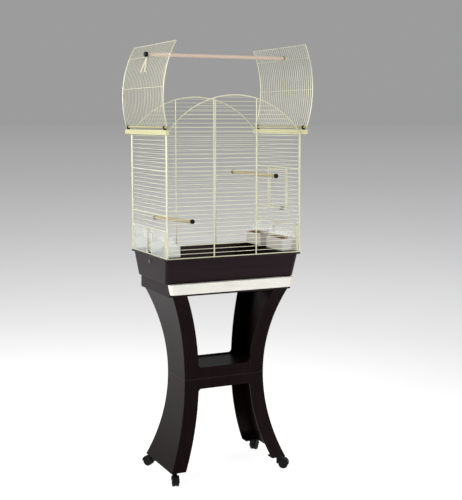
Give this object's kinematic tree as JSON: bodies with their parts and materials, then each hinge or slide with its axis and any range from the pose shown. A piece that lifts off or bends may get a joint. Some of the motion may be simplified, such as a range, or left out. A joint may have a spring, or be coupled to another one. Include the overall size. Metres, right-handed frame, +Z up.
{
  "type": "bird cage on stand",
  "caption": "Wire bird cage with arched ends and split swing-open roof, on a moulded base with drawer and a flared stand on casters.",
  "frame": {"origin": "on the floor under the middle of the cage body, caster wheels touching z = 0", "axes": "+X to the cage's right side with the door, -Y out of the front with the drawer, +Z up"},
  "size_m": [0.5805, 0.412, 1.5716],
  "materials": {
    "stand": "dark wood-grain moulding, satin",
    "base": "dark wood-grain moulding, satin",
    "wire": "pale brass-coloured lacquer",
    "rail": "pale polished brass plating",
    "drawer": "off-white moulding",
    "feeder": "milky white moulding",
    "clear": "clear moulding",
    "black_plastic": "black moulding",
    "wheel": "black nylon",
    "steel": "plain steel",
    "dowel": "turned pale wood",
    "cream": "cream moulding"
  },
  "bodies": {
    "cage": {"lower_stand": "stand", "upper_stand": "stand", "base_housing": "base", "base_tray": "base", "floor_grille": "wire", "front_panel": "wire", "rear_panel": "wire", "left_panel": "wire", "right_panel": "wire", "left_rail": "rail", "right_rail": "rail", "left_hinge_clips": "black_plastic", "right_hinge_clips": "black_plastic", "door_eyelets": "wire", "low_perch": "dowel", "low_perch_caps": "black_plastic", "high_perch": "dowel", "high_perch_caps": "black_plastic"},
    "left_roof": {"left_leaf": "wire", "left_hinge_rod": "rail", "perch_strut": "cream"},
    "right_roof": {"right_leaf": "wire", "right_hinge_rod": "rail"},
    "top_perch": {"play_perch": "dowel", "play_perch_ends": "black_plastic", "play_perch_knob": "cream"},
    "drawer": {"debris_drawer": "drawer"},
    "door": {"side_door": "wire", "door_latch": "black_plastic"},
    "feeder_left_front": {"feeder_cup_left_front": "feeder", "feeder_hood_left_front": "clear"},
    "feeder_left_rear": {"feeder_cup_left_rear": "feeder", "feeder_hood_left_rear": "clear"},
    "feeder_right_front": {"feeder_cup_right_front": "feeder", "feeder_hood_right_front": "clear"},
    "feeder_right_rear": {"feeder_cup_right_rear": "feeder", "feeder_hood_right_rear": "clear"},
    "swivel_front_left": {"caster_fork_front_left": "black_plastic"},
    "wheels_front_left": {"caster_axle_front_left": "steel", "caster_wheels_front_left": "wheel"},
    "swivel_rear_left": {"caster_fork_rear_left": "black_plastic"},
    "wheels_rear_left": {"caster_axle_rear_left": "steel", "caster_wheels_rear_left": "wheel"},
    "swivel_front_right": {"caster_fork_front_right": "black_plastic"},
    "wheels_front_right": {"caster_axle_front_right": "steel", "caster_wheels_front_right": "wheel"},
    "swivel_rear_right": {"caster_fork_rear_right": "black_plastic"},
    "wheels_rear_right": {"caster_axle_rear_right": "steel", "caster_wheels_rear_right": "wheel"}
  },
  "joints": [
    {"name": "left_roof_hinge", "type": "hinge", "parent": "cage", "child": "left_roof", "pos_m": [-0.267, 0, 1.28], "axis": [0, 1, 0], "range_deg": [0, 58.18]},
    {"name": "right_roof_hinge", "type": "hinge", "parent": "cage", "child": "right_roof", "pos_m": [0.267, 0, 1.28], "axis": [0, -1, 0], "range_deg": [0, 63.38]},
    {"name": "top_perch_lift", "type": "slide", "parent": "cage", "child": "top_perch", "axis": [0, 0, 1], "range_m": [0, 0.15]},
    {"name": "drawer_slide", "type": "slide", "parent": "cage", "child": "drawer", "axis": [0, -1, 0], "range_m": [0, 0.25]},
    {"name": "side_door_hinge", "type": "hinge", "parent": "cage", "child": "door", "pos_m": [0.2636, 0.0685, 0.977], "axis": [0, 0, 1], "range_deg": [0, 110]},
    {"name": "feeder_left_front_slide", "type": "slide", "parent": "cage", "child": "feeder_left_front", "axis": [-1, 0, 0], "range_m": [0, 0.066]},
    {"name": "feeder_left_rear_slide", "type": "slide", "parent": "cage", "child": "feeder_left_rear", "axis": [-1, 0, 0], "range_m": [0, 0.066]},
    {"name": "feeder_right_front_slide", "type": "slide", "parent": "cage", "child": "feeder_right_front", "axis": [1, 0, 0], "range_m": [0, 0.066]},
    {"name": "feeder_right_rear_slide", "type": "slide", "parent": "cage", "child": "feeder_right_rear", "axis": [1, 0, 0], "range_m": [0, 0.066]},
    {"name": "swivel_front_left", "type": "hinge", "parent": "cage", "child": "swivel_front_left", "pos_m": [-0.212, -0.111, 0.046], "axis": [0, 0, 1], "continuous": true},
    {"name": "roll_front_left", "type": "hinge", "parent": "swivel_front_left", "child": "wheels_front_left", "pos_m": [-0.21635, -0.12846, 0.018], "axis": [0.9703, -0.2419, 0], "continuous": true},
    {"name": "swivel_rear_left", "type": "hinge", "parent": "cage", "child": "swivel_rear_left", "pos_m": [-0.212, 0.111, 0.046], "axis": [0, 0, 1], "continuous": true},
    {"name": "roll_rear_left", "type": "hinge", "parent": "swivel_rear_left", "child": "wheels_rear_left", "pos_m": [-0.22308, 0.12518, 0.018], "axis": [-0.788, -0.6157, 0], "continuous": true},
    {"name": "swivel_front_right", "type": "hinge", "parent": "cage", "child": "swivel_front_right", "pos_m": [0.212, -0.111, 0.046], "axis": [0, 0, 1], "continuous": true},
    {"name": "roll_front_right", "type": "hinge", "parent": "swivel_front_right", "child": "wheels_front_right", "pos_m": [0.22692, -0.12107, 0.018], "axis": [0.5592, 0.829, 0], "continuous": true},
    {"name": "swivel_rear_right", "type": "hinge", "parent": "cage", "child": "swivel_rear_right", "pos_m": [0.212, 0.111, 0.046], "axis": [0, 0, 1], "continuous": true},
    {"name": "roll_rear_right", "type": "hinge", "parent": "swivel_rear_right", "child": "wheels_rear_right", "pos_m": [0.22579, 0.12257, 0.018], "axis": [-0.6428, 0.766, 0], "continuous": true}
  ]
}
